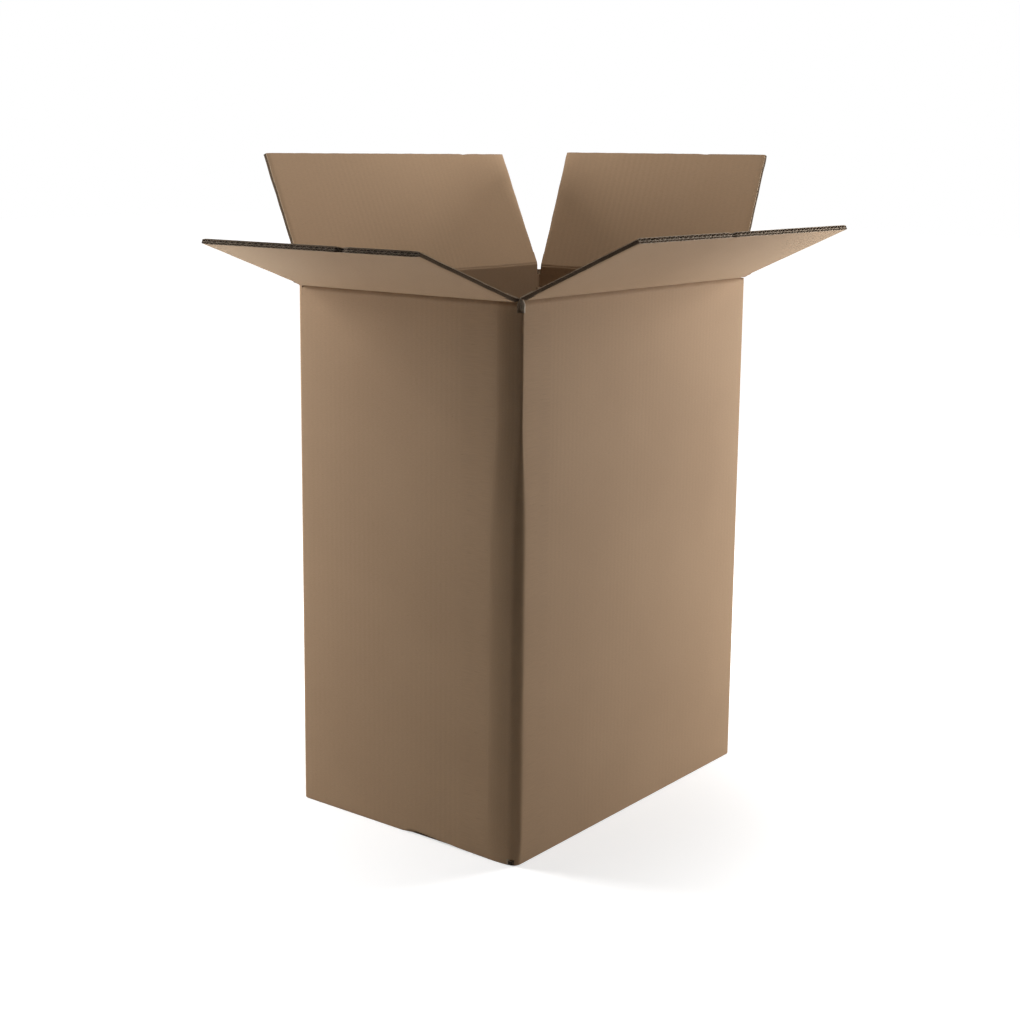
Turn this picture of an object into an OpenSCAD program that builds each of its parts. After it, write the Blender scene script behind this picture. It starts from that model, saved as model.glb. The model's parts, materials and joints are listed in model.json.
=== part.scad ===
// Tall shipping box folded from one sheet of double-wall corrugated board, standing open.
// Millimetres, +Z up, X along the long walls. The origin is the middle of the base, on the floor.

/* [Box] */
// Outside length, along X
box_length = 407; // [320:1:600]
// Outside width, along Y
box_width = 286; // [220:1:400]
// Height of the top score lines above the floor
box_height = 551; // [250:1:800]

/* [Board] */
// Thickness of each of the three flat papers
liner = 0.35; // [0.25:0.05:0.5]
// Thickness of each of the two fluted papers
medium = 0.3; // [0.2:0.05:0.4]
// Height of the fine flutes behind the outer face
fine_height = 1.85; // [1.6:0.05:2.4]
// Height of the coarse flutes behind the inner face
coarse_height = 2.5; // [2.1:0.05:3.2]
// Spacing of the fine flutes
fine_pitch = 6.4; // [5.6:0.1:7.2]
// Spacing of the coarse flutes
coarse_pitch = 7.85; // [7:0.05:9]
// Width of the strip along a slotted edge where the flutes are crushed shut
crushed_edge = 4; // [2:0.5:10]

/* [Folds] */
// Outside radius of the upright folds
corner_radius = 12; // [8:0.5:14]
// Outside radius of the folds round the base and of the fold at the glued seam
base_radius = 4; // [2:0.5:4.5]
// Distance from a corner of the box to the end of a flap, half the width of a slot
slot_inset = 6.2; // [6:0.1:9]
// How far a top slot runs on below its score line
slot_run_on = 10; // [9:0.5:20]
// Height of the slot that shows at each lower corner
base_slot_height = 7; // [4:0.5:12]
// Width of the glue lap inside the seam
lap_width = 35; // [25:1:50]
// Distance from the score lines to the ends of the glue lap
lap_end_inset = 16; // [12:1:40]

/* [Top creases] */
// Radius of the crushed core that a top flap rolls on
crease_radius = 0.75; // [0.6:0.05:1]
// Gap kept between wall and flap along a crease
crease_gap = 0.3; // [0.3:0.05:0.5]
// Height of the end walls' crease cores under the score line
end_core_drop = 0.3; // [0:0.1:1]
// Depth of the long walls' crease cores behind the outer face
long_core_depth = 3.3; // [3:0.05:3.6]
// Gap between the long flaps and the end flaps that they close over
closing_gap = 0.35; // [0.3:0.05:1]
// Angle past upright to which a top flap folds back
fold_back = 135; // [100:1:135]

/* [Flaps] */
// Distance from the free edge of a closed long flap to the middle of the box
meeting_gap = 1; // [1:0.1:4]
// Lean of the front flap away from upright
front_lean = 65.2; // [0:0.1:120]
// Lean of the back flap away from upright
back_lean = 23; // [0:0.1:120]
// Lean of the left flap away from upright
left_lean = 70.4; // [0:0.1:120]
// Lean of the right flap away from upright
right_lean = 20.4; // [0:0.1:120]

/* [Hidden] */

// Arcs of the round folds
$fn = 64;
// Length by which a cutter runs past the face that it cuts
overrun = 1;
// Angle past upright to which a top flap folds in, to lie flat
fold_in = 90;
// Share of a coarse flute's spacing along which its crest lies flat on a flat paper
coarse_crest_share = 0.25;
// A fine flute is pointed
fine_crest_share = 0;

board = 3 * liner + fine_height + coarse_height;
flap_length = box_width / 2 - meeting_gap;
long_flap_width = box_length - 2 * slot_inset;
end_flap_width = box_width - 2 * slot_inset;
slot_level = box_height - slot_run_on;
inner_corner_radius = corner_radius - board;

// Crease cores: depth behind the outer face, and height above the score line.
// The long flaps close on top of the end flaps, so their cores sit higher by a board and a gap.
end_core_depth = crease_radius;
end_core_rise = -end_core_drop;
long_core_rise = end_core_rise + end_core_depth + board + closing_gap - long_core_depth;

// Half angles of the wedge that a crushed crease leaves on each side of its core
outer_half_angle = (180 - fold_back) / 2;
inner_half_angle = (180 - fold_in) / 2;

kraft = "#a5835e";
kraft_flap = "#b08d66";

// Distance from a core at which a crushed face regains the full depth beside the core
function crush_length(depth, half_angle) =
    (depth + crease_gap / 2 / cos(half_angle)) / tan(half_angle);

// Width of a crushed wedge on one side of its core, at a distance from the core
function crush_width(distance, half_angle) =
    distance * tan(half_angle) - crease_gap / 2 / cos(half_angle);

// Distance from a core at which the two crushed faces of a wedge would meet
crush_apex = crease_gap / 2 * (1 / cos(outer_half_angle) + 1 / cos(inner_half_angle))
    / (tan(outer_half_angle) + tan(inner_half_angle));

// Space under one arch of a fluted paper, standing on a flat paper at height zero
function arch_points(pitch, height, crest_share) =
    let (
        run = (pitch / 2 - crest_share * pitch) / (height - medium),
        trim = medium * (sqrt(1 + run * run) - run) / 2,
        foot = (pitch - crest_share * pitch) / 2 - trim,
        crest = crest_share * pitch / 2 - trim
    )
    crest > 0
        ? [[-foot, 0], [foot, 0], [crest, height - medium], [-crest, height - medium]]
        : [[-foot, 0], [foot, 0], [0, foot / run]];

// Local frame of a wall: x along it, y outward from its outer face, z up from the floor
module at_front() {
    translate([0, -box_width / 2, 0]) rotate([0, 0, 180]) children();
}

module at_back() {
    translate([0, box_width / 2, 0]) children();
}

module at_left() {
    translate([-box_length / 2, 0, 0]) rotate([0, 0, 90]) children();
}

module at_right() {
    translate([box_length / 2, 0, 0]) rotate([0, 0, -90]) children();
}

// Prism along a wall's local x, centred, from an outline drawn in local y and z
module along_wall(width) {
    translate([-width / 2, 0, 0])
        rotate([90, 0, 90])
            linear_extrude(height = width)
                children();
}

// Outline of the corner that a round fold takes off a square edge, edge at the origin
module fold_relief(radius) {
    difference() {
        translate([-radius, 0]) square([radius + overrun, radius]);
        translate([-radius, radius]) circle(r = radius);
        translate([-2 * radius, radius]) square(2 * radius);
    }
}

// Rectangle with round corners, apart from the far right one where the sheet's ends meet
module seam_rectangle(length, width, radius) {
    square([length - 2 * radius, width], center = true);
    square([length, width - 2 * radius], center = true);
    for (corner = [[-1, -1], [1, -1], [-1, 1]])
        translate([corner[0] * (length / 2 - radius), corner[1] * (width / 2 - radius)])
            circle(r = radius);
    translate([length / 2 - radius, width / 2 - radius]) square(radius);
}

// The four upright walls up to the slots. The end wall's raw edge shows at the glued corner,
// beside the fold of the long wall's lap.
module walls() {
    linear_extrude(height = slot_level)
        difference() {
            seam_rectangle(box_length, box_width, corner_radius);
            seam_rectangle(box_length - 2 * board, box_width - 2 * board, inner_corner_radius);
            translate([box_length / 2 - board, box_width / 2])
                mirror([0, 1])
                    intersection() {
                        fold_relief(base_radius);
                        translate([-base_radius, 0]) square(base_radius);
                    }
        }
}

// Strip of the long wall's board glued behind the end wall
module glue_lap() {
    translate([
        box_length / 2 - 2 * board,
        box_width / 2 - board - lap_width,
        lap_end_inset
    ])
        cube([board, lap_width, box_height - 2 * lap_end_inset]);
}

// Base flaps: the end walls' pair lies inside, the long walls' pair closes under it
module base_flaps() {
    for (side = [-1, 1]) {
        translate([side * (box_length / 2 - board - (flap_length - board) / 2), 0, board + board / 2])
            cube([flap_length - board, end_flap_width, board], center = true);
        translate([0, side * (box_width / 2 - board - (flap_length - board) / 2), board / 2])
            cube([long_flap_width, flap_length - board, board], center = true);
    }
}

// Rounded outer edge of the fold along the foot of a wall
module foot_relief(width) {
    along_wall(width + 2 * slot_inset + 2 * overrun) fold_relief(base_radius);
}

// Slots between the base flaps, open at the lower corners
module base_slots() {
    for (end = [-1, 1], side = [-1, 1])
        translate([
            end * (box_length / 2 - slot_inset / 2 + overrun / 2),
            side * (box_width / 2 - slot_inset / 2 + overrun / 2),
            (base_slot_height - overrun) / 2
        ])
            cube([slot_inset + overrun, slot_inset + overrun, base_slot_height + overrun], center = true);
}

// Top of a wall: full board above the slots, crushed to a wedge with a round core at the score
module wall_top(width, core_depth, core_rise) {
    inner_depth = board - core_depth;
    core_level = box_height + core_rise;
    along_wall(width)
        translate([-core_depth, core_level])
            polygon([
                [core_depth, slot_level - core_level],
                [core_depth, -crush_length(core_depth, outer_half_angle)],
                [crush_width(crush_apex, outer_half_angle), -crush_apex],
                [-inner_depth, -crush_length(inner_depth, inner_half_angle)],
                [-inner_depth, slot_level - core_level]
            ]);
    translate([-width / 2, -core_depth, core_level])
        rotate([0, 90, 0])
            cylinder(r = crease_radius, h = width);
}

// Root of a flap, upright, with its core at the origin: the crushed side of the score
module flap_root(width, core_depth, full_length) {
    inner_depth = board - core_depth;
    root = crease_radius + crease_gap;
    along_wall(width)
        polygon([
            [crush_width(root, outer_half_angle), root],
            [core_depth, crush_length(core_depth, outer_half_angle)],
            [core_depth, full_length],
            [-inner_depth, full_length],
            [-inner_depth, crush_length(inner_depth, inner_half_angle)],
            [-crush_width(root, inner_half_angle), root]
        ]);
}

// One row of flutes across a section of board, from a flat paper at height zero to the next
module flute_row(width, pitch, height, crest_share) {
    count = floor((width - 2 * crushed_edge) / pitch);
    for (wave = [0 : count - 1])
        translate([(wave - (count - 1) / 2) * pitch, 0])
            polygon(arch_points(pitch, height, crest_share));
    for (wave = [0 : count - 2])
        translate([(wave - (count - 2) / 2) * pitch, height])
            mirror([0, 1])
                polygon(arch_points(pitch, height, crest_share));
}

// Section of the double-wall board, inner face at height zero
module board_section(width) {
    difference() {
        translate([-width / 2, 0]) square([width, board]);
        translate([0, liner]) flute_row(width, coarse_pitch, coarse_height, coarse_crest_share);
        translate([0, 2 * liner + coarse_height])
            flute_row(width, fine_pitch, fine_height, fine_crest_share);
    }
}

// A top flap in its wall's frame: fluted board on a crushed root, leaning out about its core
module top_flap(width, core_depth, core_rise, lean) {
    inner_depth = board - core_depth;
    full_length = max(
        crush_length(core_depth, outer_half_angle),
        crush_length(inner_depth, inner_half_angle)
    );
    translate([0, -core_depth, box_height + core_rise])
        rotate([-lean, 0, 0]) {
            flap_root(width, core_depth, full_length);
            translate([0, -inner_depth, full_length])
                linear_extrude(height = flap_length - core_rise - full_length)
                    board_section(width);
        }
}

module long_flap(lean) {
    top_flap(long_flap_width, long_core_depth, long_core_rise, lean);
}

module end_flap(lean) {
    top_flap(end_flap_width, end_core_depth, end_core_rise, lean);
}

module long_wall_top() {
    wall_top(long_flap_width, long_core_depth, long_core_rise);
}

module end_wall_top() {
    wall_top(end_flap_width, end_core_depth, end_core_rise);
}

module box_body() {
    color(kraft) {
        difference() {
            union() {
                walls();
                base_flaps();
            }
            base_slots();
            at_front() foot_relief(long_flap_width);
            at_back() foot_relief(long_flap_width);
            at_left() foot_relief(end_flap_width);
            at_right() foot_relief(end_flap_width);
        }
        glue_lap();
        at_front() long_wall_top();
        at_back() long_wall_top();
        at_left() end_wall_top();
        at_right() end_wall_top();
    }
}

module front_flap() {
    color(kraft_flap) at_front() long_flap(front_lean);
}

module back_flap() {
    color(kraft_flap) at_back() long_flap(back_lean);
}

module left_flap() {
    color(kraft_flap) at_left() end_flap(left_lean);
}

module right_flap() {
    color(kraft_flap) at_right() end_flap(right_lean);
}

box_body();
front_flap();
back_flap();
left_flap();
right_flap();
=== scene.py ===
# %% [markdown]
# # An open shipping box of double-wall board
#
# The object is a tall brown box folded from one sheet of corrugated board. Its base is closed and
# its four top flaps stand open. The packed solids give the places and the hinges. This lesson
# dresses them: walls with soft folds, creases bent as the flaps lean at rest, and flaps made of five
# glued papers.
# Everything is in metres, in the frame of the packed solids.

# %% Load the packed solids and keep their box
import json
import math

import bpy
import numpy as np
from mathutils import Matrix, Vector


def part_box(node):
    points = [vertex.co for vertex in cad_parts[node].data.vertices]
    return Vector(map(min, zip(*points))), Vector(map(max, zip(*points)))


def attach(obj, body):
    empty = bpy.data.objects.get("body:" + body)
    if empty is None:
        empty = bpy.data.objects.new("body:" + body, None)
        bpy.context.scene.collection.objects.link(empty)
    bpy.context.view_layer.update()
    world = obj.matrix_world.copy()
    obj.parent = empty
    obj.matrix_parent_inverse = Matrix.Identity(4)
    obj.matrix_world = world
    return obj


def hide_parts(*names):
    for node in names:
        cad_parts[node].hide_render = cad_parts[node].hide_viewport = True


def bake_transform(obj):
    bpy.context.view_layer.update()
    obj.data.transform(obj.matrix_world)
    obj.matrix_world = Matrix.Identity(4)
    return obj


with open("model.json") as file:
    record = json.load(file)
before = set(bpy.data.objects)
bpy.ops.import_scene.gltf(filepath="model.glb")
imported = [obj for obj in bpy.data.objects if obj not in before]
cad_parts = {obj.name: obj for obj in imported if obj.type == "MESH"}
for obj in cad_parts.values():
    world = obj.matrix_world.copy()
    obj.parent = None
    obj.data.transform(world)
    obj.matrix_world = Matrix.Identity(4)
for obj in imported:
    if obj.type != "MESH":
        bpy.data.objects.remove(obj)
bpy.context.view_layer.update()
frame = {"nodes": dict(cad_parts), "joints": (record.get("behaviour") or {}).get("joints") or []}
print("nodes:", sorted(frame["nodes"]))

# %% [markdown]
# ## Sizes
#
# A box maker starts from the outside length and width, the height of the score lines and the
# make-up of the board. The first three are measured on the packed solids, so that the dressing
# follows them. The papers are repeated here: three flat liners and two fluted mediums, fine flutes
# behind the outer face and coarse ones behind the inner face.

# %% Measure the box and list the papers
MM = 0.001
low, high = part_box("box_body")
LENGTH, WIDTH = high.x - low.x, high.y - low.y
LINER, MEDIUM = 0.35 * MM, 0.3 * MM
FINE_HEIGHT, COARSE_HEIGHT = 1.85 * MM, 2.5 * MM
FINE_PITCH, COARSE_PITCH = 6.4 * MM, 7.85 * MM
BOARD = 3 * LINER + FINE_HEIGHT + COARSE_HEIGHT
hinges = {joint["child"]: joint for joint in frame["joints"]}
END_CORE_DROP = 0.3 * MM
SCORE = hinges["left"]["pos_m"][2] + END_CORE_DROP
SLOT_LEVEL = SCORE - 10 * MM
SLOT_INSET = 6.2 * MM
FLAP_LENGTH = WIDTH / 2 - 1 * MM
FOLD_BACK = 135.0  # degrees from upright at the upper limit of a hinge
print(f"box {LENGTH:.3f} x {WIDTH:.3f} m, score lines at {SCORE:.3f} m, board {BOARD / MM:.2f} mm")

# %% [markdown]
# ## The four walls as local frames
#
# Each wall has a frame of its own: x along it, y out of its outer face, z up. A flap is built once
# in that frame and set in place by the matrix. The sheet coordinate runs round the box as on the
# flat blank, so paper patterns pass from wall to flap without a break.

# %% Make a frame for each wall
def wall_frame(out, depth):
    """Matrix of a wall whose outer face looks along out, at this distance from the middle."""
    out = Vector(out)
    up = Vector((0, 0, 1))
    turn = Matrix((out.cross(up), out, up)).transposed().to_4x4()
    return Matrix.Translation(out * depth) @ turn


def hinge_facts(body, depth, out):
    """Depth of the hinge behind the outer face, its height and the lean of the flap at rest."""
    joint = hinges[body]
    place = Vector(joint["pos_m"])
    return {
        "depth": depth - place.dot(Vector(out)),
        "level": place.z,
        "lean": math.radians(FOLD_BACK - joint["range_deg"][1]),
    }


WALLS = {}
start = 0.0
for body, out, depth, span in (
    ("back", (0, 1, 0), WIDTH / 2, LENGTH),
    ("left", (-1, 0, 0), LENGTH / 2, WIDTH),
    ("front", (0, -1, 0), WIDTH / 2, LENGTH),
    ("right", (1, 0, 0), LENGTH / 2, WIDTH),
):
    WALLS[body] = {
        "frame": wall_frame(out, depth),
        "span": span,
        "flap_width": span - 2 * SLOT_INSET,
        "sheet_mid": start + span / 2,
        **hinge_facts(body, depth, out),
    }
    start += span
    print(body, "hinge", round(WALLS[body]["depth"] / MM, 2), "mm deep, lean",
          round(math.degrees(WALLS[body]["lean"]), 1))

# %% [markdown]
# ## A helper for node trees
#
# Materials and Geometry Nodes are both trees of nodes. One small class adds a node, sets or links
# its inputs and writes arithmetic in a line, which keeps the later cells short.

# %% Node helper
class Net:
    """Adds nodes to one tree and links them."""

    def __init__(self, tree):
        self.tree = tree

    def put(self, socket, value):
        if isinstance(value, bpy.types.NodeSocket):
            self.tree.links.new(value, socket)
        else:
            socket.default_value = value

    def add(self, kind, inputs=None, **settings):
        node = self.tree.nodes.new(kind)
        for name, value in settings.items():
            setattr(node, name, value)
        for name, value in (inputs or {}).items():
            self.put(node.inputs[name], value)
        return node

    def math(self, operation, *values):
        node = self.add("ShaderNodeMath", operation=operation)
        for socket, value in zip(node.inputs, values):
            self.put(socket, value)
        return node.outputs[0]

    def plus(self, first, second):
        return self.math("ADD", first, second)

    def minus(self, first, second):
        return self.math("SUBTRACT", first, second)

    def times(self, first, second):
        return self.math("MULTIPLY", first, second)

    def over(self, first, second):
        return self.math("DIVIDE", first, second)

    def ramp(self, value, low, high, to_low=0.0, to_high=1.0, kind="SMOOTHSTEP"):
        node = self.add("ShaderNodeMapRange", interpolation_type=kind)
        for socket, part in zip(node.inputs, (value, low, high, to_low, to_high)):
            self.put(socket, part)
        return node.outputs[0]


print("node helper:", [name for name in vars(Net) if not name.startswith("_")])

# %% [markdown]
# ## Kraft paper
#
# Brown liner board is matt, with cloudy patches of tone, short fibres across the flutes, dark
# specks of recycled stock, and faint upright lines where the flutes press through from behind. All
# of these read the sheet attribute, which holds the place on the flat blank and the depth in the
# board.

# %% Kraft liners
def sheet_vector(net):
    return net.add("ShaderNodeAttribute", attribute_name="sheet").outputs["Vector"]


def scaled(net, vector, scale, offset=(0, 0, 0)):
    node = net.add("ShaderNodeMapping", {"Vector": vector, "Scale": scale, "Location": offset})
    return node.outputs["Vector"]


def cloud(net, vector, scale, detail=3.0, roughness=0.5):
    node = net.add("ShaderNodeTexNoise", {
        "Vector": vector, "Scale": scale, "Detail": detail, "Roughness": roughness,
    })
    return node.outputs[0]


def mix(net, share, first, second, blend="MIX"):
    node = net.add("ShaderNodeMix", data_type="RGBA", blend_type=blend)
    net.put(node.inputs[0], share)
    net.put(node.inputs[6], first)
    net.put(node.inputs[7], second)
    return node.outputs[2]


def new_material(name):
    material = bpy.data.materials.new(name)
    material.use_nodes = True
    net = Net(material.node_tree)
    return material, net, material.node_tree.nodes["Principled BSDF"]


def kraft_liner(name, base, dark, pitch, offset, print_through):
    """Brown liner paper with clouds, fibres, specks and the lines of the flutes behind it."""
    material, net, shader = new_material(name)
    sheet = scaled(net, sheet_vector(net), (1, 1, 1), offset)
    across = net.add("ShaderNodeSeparateXYZ", {"Vector": sheet}).outputs[0]
    clouds = net.ramp(cloud(net, sheet, 7.0, 4.0), 0.3, 0.7)
    fibres = cloud(net, scaled(net, sheet, (260, 1500, 700)), 1.0, 3.0, 0.6)
    grain = cloud(net, scaled(net, sheet, (900, 900, 900)), 1.0, 2.0)
    specks = net.ramp(cloud(net, scaled(net, sheet, (420, 900, 600)), 1.0, 1.0), 0.71, 0.77)
    drift = net.times(cloud(net, scaled(net, sheet, (20, 2, 2)), 1.0, 1.0), 2.0)
    turn = net.plus(net.times(across, 2 * math.pi / pitch), drift)
    lines = net.ramp(net.math("SINE", turn), -1.0, 1.0)
    press = net.ramp(cloud(net, scaled(net, sheet, (14, 3, 3)), 1.0, 2.0), 0.35, 0.7, 0.25, 1.0)
    colour = mix(net, net.times(clouds, 0.55), base, dark)
    fleck = net.ramp(fibres, 0.35, 0.65, -0.045, 0.045, "LINEAR")
    tone = net.plus(1.0, fleck)
    tone = net.plus(tone, net.ramp(grain, 0.3, 0.7, -0.03, 0.03, "LINEAR"))
    stripe = net.times(net.minus(lines, 0.5), press)
    tone = net.plus(tone, net.times(stripe, print_through))
    tone = net.minus(tone, net.times(specks, 0.16))
    shade = net.add("ShaderNodeCombineXYZ", {"X": tone, "Y": tone, "Z": tone}).outputs[0]
    net.put(shader.inputs["Base Color"], mix(net, 1.0, colour, shade, "MULTIPLY"))
    net.put(shader.inputs["Roughness"], net.ramp(grain, 0.3, 0.7, 0.78, 0.92, "LINEAR"))
    shader.inputs["Specular IOR Level"].default_value = 0.25
    shader.inputs["Sheen Weight"].default_value = 0.08
    shader.inputs["Sheen Tint"].default_value = (1.0, 0.88, 0.72, 1.0)
    shader.inputs["Sheen Roughness"].default_value = 0.5
    height = net.times(stripe, 0.00003)
    bump = net.add("ShaderNodeBump", {"Height": height, "Strength": 0.5, "Distance": 1.0})
    net.put(shader.inputs["Normal"], bump.outputs[0])
    return material


KRAFT = (0.370, 0.240, 0.139, 1.0)
KRAFT_DARK = (0.330, 0.210, 0.119, 1.0)
INNER_KRAFT = (0.345, 0.228, 0.136, 1.0)
INNER_DARK = (0.305, 0.198, 0.116, 1.0)
outer_paper = kraft_liner("kraft_outer", KRAFT, KRAFT_DARK, FINE_PITCH, (0, 0, 0), 0.035)
inner_paper = kraft_liner("kraft_inner", INNER_KRAFT, INNER_DARK, COARSE_PITCH, (3.1, 1.7, 0.4), 0.05)
print("liners:", outer_paper.name, inner_paper.name)

# %% [markdown]
# ## Cut edges and flutes
#
# Where the board is cut across, the liners show as pale lines and the flutes as dark hollows. A
# fluted flap has these as geometry. The crushed edges of the slots are solid, so there the same
# layers are drawn from the depth in the board, which costs no faces. The dark bands between the
# liners are painted shade of the hollows. The inner liner's line is paler than the paper, partly
# paper and partly a painted highlight on its edge. The slotted sides look darker and browner than
# the free edges and have a paper of their own. The fluted papers are rough.

# %% Cut edge and flute paper
# The dark tones and their paler mates colour the bands between the liners: painted shade of the flute
# hollows.
CUT_DARK, CUT_SHADE_PALE = (0.055, 0.038, 0.026, 1), (0.135, 0.094, 0.064, 1)
SLOT_DARK, SLOT_SHADE_PALE = (0.046, 0.030, 0.019, 1), (0.115, 0.077, 0.050, 1)
CUT_PALE = (0.55, 0.42, 0.30, 1)
FLUTE_DARK, FLUTE_PALE = (0.25, 0.172, 0.112, 1), (0.36, 0.25, 0.165, 1)
# Pale lines of the liners. The inner one takes CUT_PALE in full: partly paper, partly a painted
# highlight on its edge.
PALE_LAYERS = ((LINER / 2, 0.3), (1.5 * LINER + FINE_HEIGHT, 0.12), (BOARD - LINER, 1.0))
EDGE_GLOSS = 0.1
RAGGED_RELIEF = {"Strength": 0.8, "Distance": 0.6 * MM}
FIBRE_RELIEF = {"Strength": 0.4, "Distance": 0.1 * MM}


def rough_finish(net, shader, fibres, gloss, relief):
    """Matt finish of a cut or torn paper, with its fibres in relief."""
    net.put(shader.inputs["Roughness"], net.ramp(fibres, 0.3, 0.7, 0.85, 1.0))
    shader.inputs["Specular IOR Level"].default_value = gloss
    bump = net.add("ShaderNodeBump", {"Height": fibres, **relief})
    net.put(shader.inputs["Normal"], bump.outputs[0])


def cut_edge_material(name, dark, shade_pale, gloss):
    """Layers of the board on a cut: three pale papers with dark bands between them, painted shade of
    the flute hollows.
    """
    material, net, shader = new_material(name)
    sheet = sheet_vector(net)
    depth = net.add("ShaderNodeSeparateXYZ", {"Vector": sheet}).outputs[2]
    pale = 0.0
    for place, share in PALE_LAYERS:
        away = net.math("ABSOLUTE", net.minus(depth, place))
        line = net.ramp(away, 2.2 * LINER, 4.0 * LINER, share, 0.0)
        pale = net.math("MAXIMUM", line, pale)
    ragged = cloud(net, scaled(net, sheet, (900, 900, 2600)), 1.0, 4.0, 0.7)
    pale = net.times(pale, net.ramp(ragged, 0.3, 0.6, 0.45, 1.0))
    # Painted shade of the flute hollows between the liners, in two tones.
    band_shade = mix(net, net.ramp(ragged, 0.35, 0.7), dark, shade_pale)
    net.put(shader.inputs["Base Color"], mix(net, pale, band_shade, CUT_PALE))
    rough_finish(net, shader, ragged, gloss, RAGGED_RELIEF)
    return material


def flute_material():
    """Rough recycled paper of the flutes."""
    material, net, shader = new_material("flute_paper")
    fibres = cloud(net, scaled(net, sheet_vector(net), (500, 700, 500)), 1.0, 4.0, 0.7)
    colour = mix(net, net.ramp(fibres, 0.3, 0.7), FLUTE_DARK, FLUTE_PALE)
    net.put(shader.inputs["Base Color"], colour)
    rough_finish(net, shader, fibres, EDGE_GLOSS, FIBRE_RELIEF)
    return material


def paper_edge_material(name, dark, pale):
    """Torn edge of a single paper, with darker nicks."""
    material, net, shader = new_material(name)
    torn = cloud(net, scaled(net, sheet_vector(net), (380, 380, 1500)), 1.0, 4.0, 0.7)
    net.put(shader.inputs["Base Color"], mix(net, net.ramp(torn, 0.36, 0.6), dark, pale))
    rough_finish(net, shader, torn, EDGE_GLOSS, FIBRE_RELIEF)
    return material


cut_paper = cut_edge_material("cut_edge", CUT_DARK, CUT_SHADE_PALE, EDGE_GLOSS)
slot_paper = cut_edge_material("slot_edge", SLOT_DARK, SLOT_SHADE_PALE, 0.0)
flute_paper = flute_material()
edge_paper = paper_edge_material("paper_edge", (0.42, 0.33, 0.245, 1), (0.60, 0.49, 0.375, 1))
torn_paper = paper_edge_material("torn_paper", (0.60, 0.50, 0.40, 1), (0.78, 0.68, 0.56, 1))
PAPERS = [outer_paper, inner_paper, cut_paper, flute_paper, edge_paper, torn_paper, slot_paper]
OUTER, INNER, CUT, FLUTE, EDGE, TORN, SLOT = range(len(PAPERS))
print("papers:", [paper.name for paper in PAPERS])

# %% [markdown]
# ## A mesh from points and faces
#
# Walls, creases and the glue lap are lofted from rows of points. They could be modelled by hand, but
# a loft follows the sizes. One helper turns the rows into a mesh with its materials and its sheet
# attribute.

# %% Mesh helper
SHARP_TURN = math.radians(34)


def add_piece(name, points, faces, papers, sheet):
    """Object with a closed mesh, one paper for each face and a sheet place for each point."""
    mesh = bpy.data.meshes.new(name)
    mesh.from_pydata([tuple(point) for point in points], [], faces)
    for paper in PAPERS:
        mesh.materials.append(paper)
    mesh.polygons.foreach_set("material_index", papers)
    layer = mesh.attributes.new("sheet", "FLOAT_VECTOR", "POINT")
    layer.data.foreach_set("vector", np.array(sheet, np.float32).ravel())
    mesh.validate()
    mesh.update()
    mesh.shade_smooth()
    mesh.set_sharp_from_angle(angle=SHARP_TURN)
    piece = bpy.data.objects.new(name, mesh)
    bpy.context.scene.collection.objects.link(piece)
    return piece


def prism_faces(size, rows):
    """Faces of a closed outline of this many points, lofted through rows and closed at both ends."""
    faces = []
    for row in range(rows - 1):
        here, above = row * size, (row + 1) * size
        for k in range(size):
            n = (k + 1) % size
            faces.append((here + k, here + n, above + n, above + k))
    last = (rows - 1) * size
    return faces + [tuple(range(size))[::-1], tuple(range(last, last + size))]


print("edges are sharp from", round(math.degrees(SHARP_TURN)), "degrees")

# %% [markdown]
# ## The walls
#
# A ring of board is lofted up the box. Two upright folds are small and round. The front one has
# opened: a soft bend leaves the end wall and rises to a ridge, and a second bend runs from there to
# the front wall. It is sharpest under the slot, rounder lower down and tight at the foot, so it is
# mixed from three folds by height. At the foot the ring rounds in, and a pocket in the front fold is
# the slot between two base flaps. At the glued corner the raw edge of the end wall shows beside the
# fold of the lap.

# %% Small folds and the front fold
CORNER_STEPS = 18
SIDE_FOLD, SIDE_PULL = 4.2 * MM, 0.6
# Sizes of the front fold in millimetres. Start, knee and ridge are measured from the corner along
# the end wall, and depth, turn and end along the front wall. The two bends meet at the ridge.
UPPER_FOLD = {"start": 29, "knee": 19.5, "ridge": 1.0, "depth": 4.7, "turn": 5.0, "end": 6.4}
LOWER_FOLD = {"start": 36, "knee": 25, "ridge": 5.5, "depth": 3.8, "turn": 7.2, "end": 13.5}
FOOT_FOLD = {"start": 20, "knee": 14, "ridge": 9.5, "depth": 0.0, "turn": 0.0, "end": 9.0}
FLAT_BEFORE, FLAT_AFTER = 70 * MM, 48 * MM
UPPER_FROM, UPPER_TO = 330 * MM, 440 * MM
FOOT_TO, FOOT_SHARE = 25 * MM, 0.6


def smooth(value, low, high):
    share = min(1.0, max(0.0, (value - low) / (high - low)))
    return share * share * (3 - 2 * share)


def bezier(share, first, second, third, fourth):
    rest = 1 - share
    return (rest ** 3 * first + 3 * rest ** 2 * share * second
            + 3 * rest * share ** 2 * third + share ** 3 * fourth)


def side_fold():
    """Points of a small fold in the axes of its two walls, from the first wall to the second."""
    pulled = SIDE_FOLD * (1 - SIDE_PULL)
    shares = [step / CORNER_STEPS for step in range(CORNER_STEPS + 1)]
    return [(bezier(share, SIDE_FOLD, pulled, 0.0, 0.0), bezier(share, 0.0, 0.0, pulled, SIDE_FOLD))
            for share in shares]


def bend(share, first, second, third):
    """Place on a quadratic curve."""
    rest = 1 - share
    return rest ** 2 * first + 2 * rest * share * second + share ** 2 * third


def mixed(first, second, share):
    """A fold between two others."""
    return {name: value + (second[name] - value) * share for name, value in first.items()}


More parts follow.
